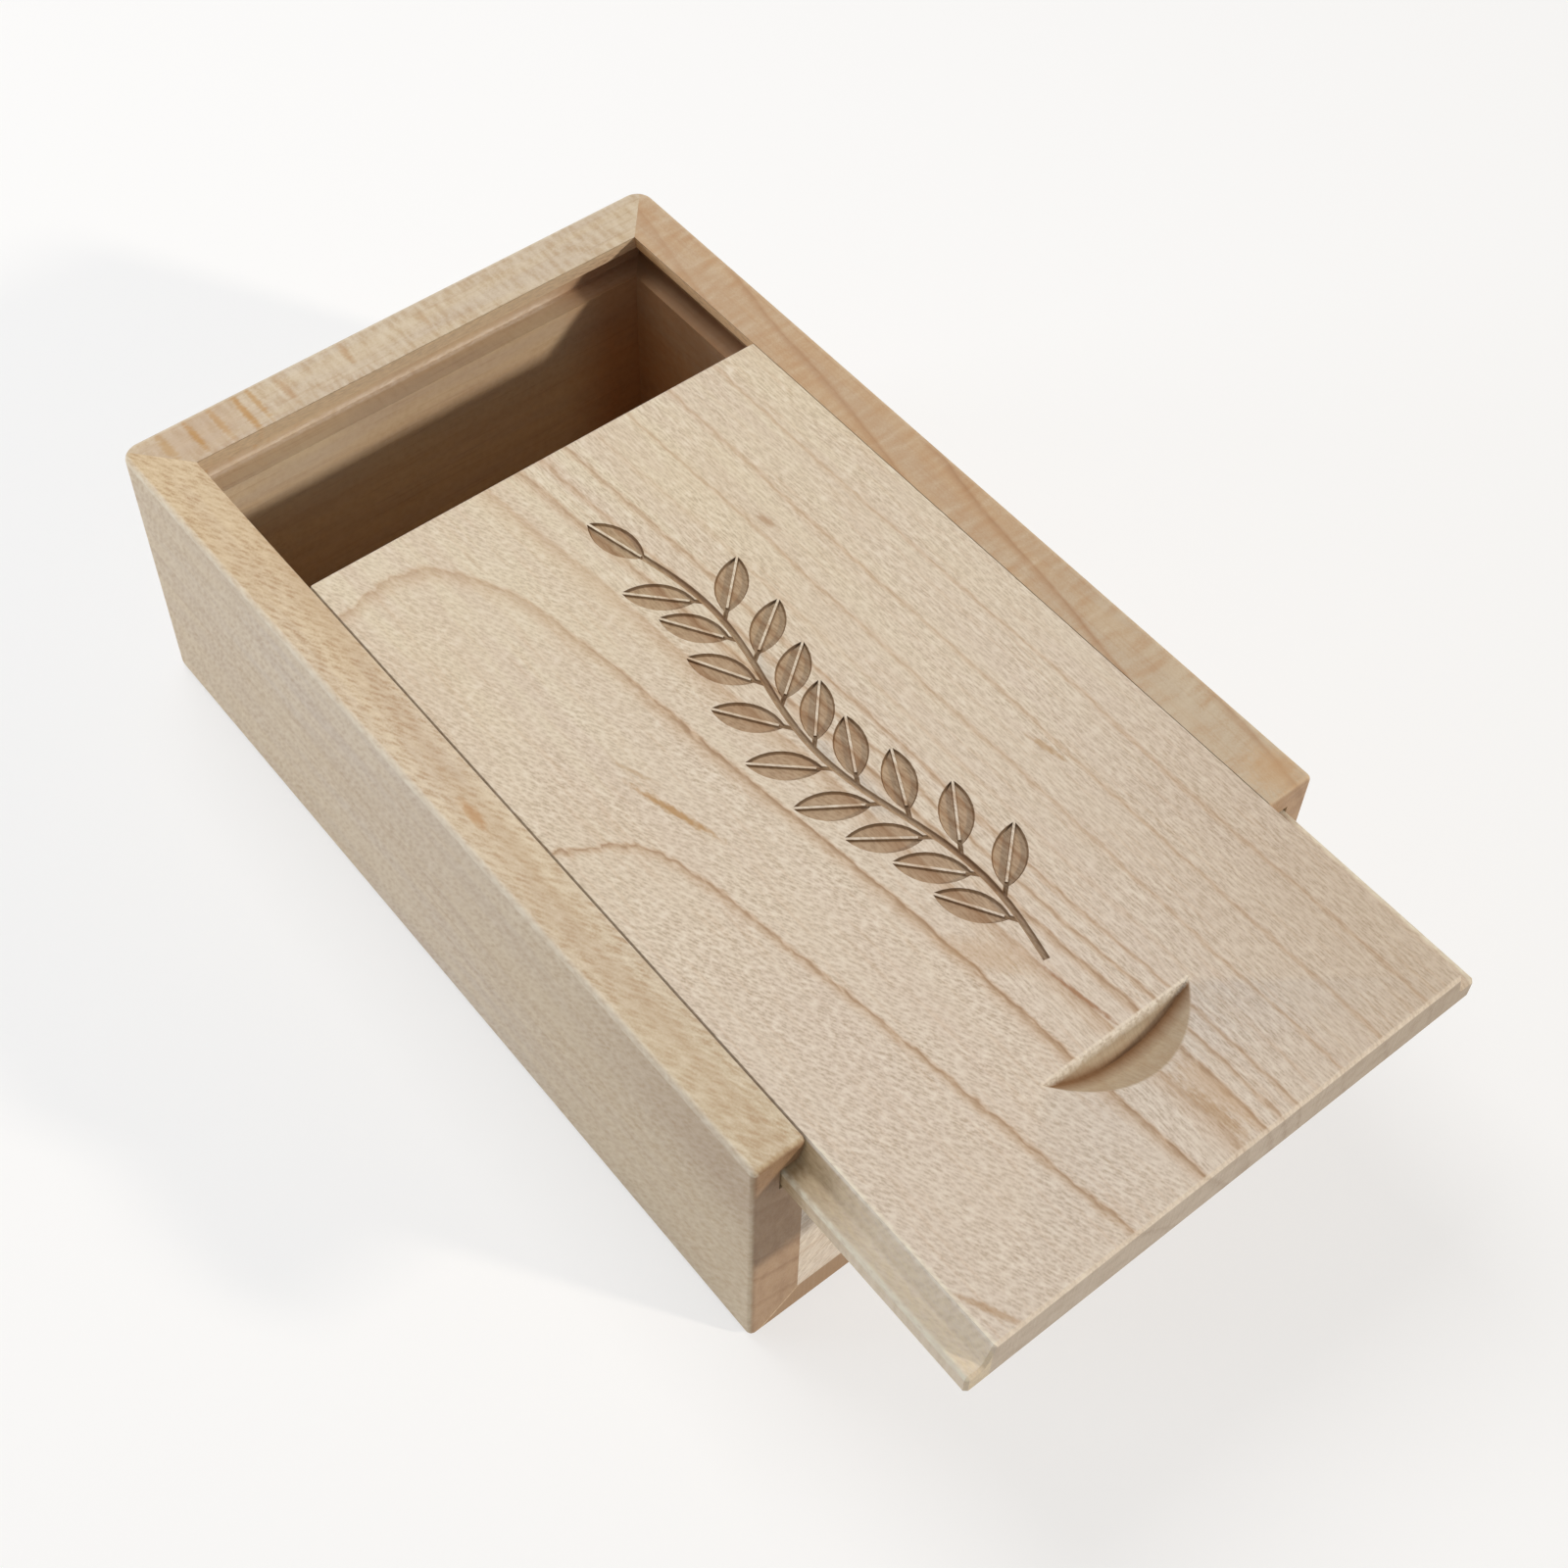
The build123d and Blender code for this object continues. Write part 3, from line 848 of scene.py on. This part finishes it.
steps = int((STEM_TIP - STEM_FOOT) / STEM_STEP)
stem_points = [stem_at(STEM_FOOT + STEM_STEP * i)[0] for i in range(steps + 1)]
stem_points.append(stem_at(STEM_TIP + 2 * TIP_GAP)[0])
cutters = [
    in_scene("leaf_cutter", leaf_mesh),
    groove("stem_cutter", [stem_points], STEM_WIDTH),
    groove("left_twig_cutter", twigs[::2], TWIG_WIDTH),
    groove("right_twig_cutter", twigs[1::2], TWIG_WIDTH),
]
print("cutters:", ", ".join(c.name for c in cutters))

# %% A copy of the lid
# The lid fits its right groove more closely than its left one, so a gap shows only on the left.
# The notch has a steep wall at its chord, so its crease moves nearer to the chord and higher.
CLOSE_FIT, RIGHT_EDGE = 0.14, 20.0
CHORD_Y, NOTCH_FRONT, NOTCH_SIDE, NOTCH_LOWEST = -49.9, -54.6, 7.4, 24.0
JUST_UNDER = 0.01


def in_crease(corner):
    """Whether a corner of the lid's mesh lies on the notch's crease, under the lid's top."""
    x, y, z = 1000 * corner.co
    return abs(x) < NOTCH_SIDE and NOTCH_FRONT < y < CHORD_Y and NOTCH_LOWEST < z < RIM - JUST_UNDER


plain_lid = bmesh.new()
plain_lid.from_mesh(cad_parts["lid"].data)
bmesh.ops.remove_doubles(plain_lid, verts=plain_lid.verts, dist=1e-6)
bmesh.ops.dissolve_limit(plain_lid, angle_limit=math.radians(0.2), verts=plain_lid.verts,
                         edges=plain_lid.edges)
right_edge = [v for v in plain_lid.verts if 1000 * v.co.x > RIGHT_EDGE]
bmesh.ops.translate(plain_lid, verts=right_edge, vec=(CLOSE_FIT / 1000, 0, 0))
crease = [v for v in plain_lid.verts if in_crease(v)]
for corner in crease:
    depth = RIM - 1000 * corner.co.z
    length = CREASE_STRETCH * depth
    corner.co.y = (CHORD_Y - length * math.cos(WALL_ANGLE)) / 1000
    corner.co.z = (RIM - length * math.sin(WALL_ANGLE)) / 1000
bmesh.ops.connect_verts_nonplanar(plain_lid, faces=plain_lid.faces, angle_limit=math.radians(0.1))
print("notch corners moved:", len(crease))

# %% Cut the drawing out of it
lid_mesh = bpy.data.meshes.new("lid_with_sprig")
plain_lid.to_mesh(lid_mesh)
plain_lid.free()
lid_piece = in_scene("lid_with_sprig", lid_mesh)
for tool in cutters:
    cut = lid_piece.modifiers.new(tool.name, "BOOLEAN")
    cut.operation, cut.solver, cut.object = "DIFFERENCE", "EXACT", tool
bpy.context.view_layer.update()
evaluated = lid_piece.evaluated_get(bpy.context.evaluated_depsgraph_get())
finished = bpy.data.meshes.new_from_object(evaluated)
lid_piece.modifiers.clear()
lid_piece.data = finished
for tool in cutters:
    bpy.data.objects.remove(tool)
finished.materials.clear()
finished.materials.append(lid_maple)
finished.shade_smooth()
finished.set_sharp_from_angle(angle=math.radians(24))
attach(lid_piece, "lid")
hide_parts("lid")
print("lid with its sprig:", len(finished.polygons), "faces")

# %% [markdown]
# ## Floor and light
#
# The box stands on a plain, nearly white floor that keeps its shadow. The floor lies a hair
# under the box, so that their faces don't meet. The camera sees it paler than it is, which
# gives a clean background without more light on the wood.

# %% The floor
HALF_FLOOR, HAIR = 3.0, 0.00005


def seen_directly(tree):
    """1 for what the camera or a gloss sees, and 0 for the light that the wood gets."""
    ray = add(tree, "LightPath")
    return add(tree, "Math", {0: ray.outputs["Is Camera Ray"], 1: ray.outputs["Is Glossy Ray"]},
               operation="MAXIMUM")


floor_mesh = bmesh.new()
bmesh.ops.create_grid(floor_mesh, x_segments=1, y_segments=1, size=HALF_FLOOR)
floor_data = bpy.data.meshes.new("floor")
floor_mesh.to_mesh(floor_data)
floor_mesh.free()
floor = in_scene("floor", floor_data)
floor.location.z = -HAIR

paper = bpy.data.materials.new("matt_white_paper")
paper.use_nodes = True
tree = paper.node_tree
tree.nodes.clear()
share = add(tree, "Math", {0: seen_directly(tree), 1: 0.6}, operation="MULTIPLY")
matt = add(tree, "BsdfDiffuse", {"Color": colour("F2F1EF")})
white = add(tree, "Emission", {"Color": (1, 1, 1, 1), "Strength": 1.0})
both = add(tree, "MixShader", {0: share, 1: matt, 2: white})
add(tree, "OutputMaterial", {0: both})
floor_data.materials.append(paper)
print("the floor is", 2 * HALF_FLOOR, "m wide")

# %% [markdown]
# A pale room gives soft light from all round. A lamp right above the box, a little behind it,
# makes the back of the lid brighter than the front. A low soft lamp on the left lights the long
# side and passes over the opening, so the inside stays dark. A small warm lamp at the front
# right throws the lid's shadow down the back wall.

# %% The sky and the lamps
LIT = Vector((0, -0.01, 0.02))

world = bpy.data.worlds.new("pale_room")
bpy.context.scene.world = world
world.use_nodes = True
tree = world.node_tree
tree.nodes.clear()
strength = add(tree, "MapRange", {0: seen_directly(tree), 3: 0.3, 4: 1.0})
sky = add(tree, "Background", {"Color": (1, 1, 1, 1), "Strength": strength})
add(tree, "OutputWorld", {0: sky})


def lamp(name, place, size, watts, tint):
    """A square lamp at that place, turned to the lit point in the box. Metres and watts."""
    data = bpy.data.lights.new(name, "AREA")
    data.shape = "SQUARE"
    data.size = size
    data.energy = watts
    data.color = colour(tint)[:3]
    made = in_scene(name, data)
    made.location = place
    away = Vector(place) - LIT
    made.rotation_euler = away.to_track_quat("Z", "Y").to_euler()
    print(name, "stands", round(away.length, 2), "m away")


lamp("window_front_right", (0.67, -1.065, 0.564), 0.09, 10.8, "FFF3E2")
lamp("soft_above", (-0.02, 0.16, 0.38), 0.22, 0.8, "FFFFFF")
lamp("soft_left", (-0.38, 0.3, 0.1), 0.16, 0.85, "EAF1FF")
bpy.context.scene.view_settings.view_transform = "Standard"
print("lamps and floor are set")
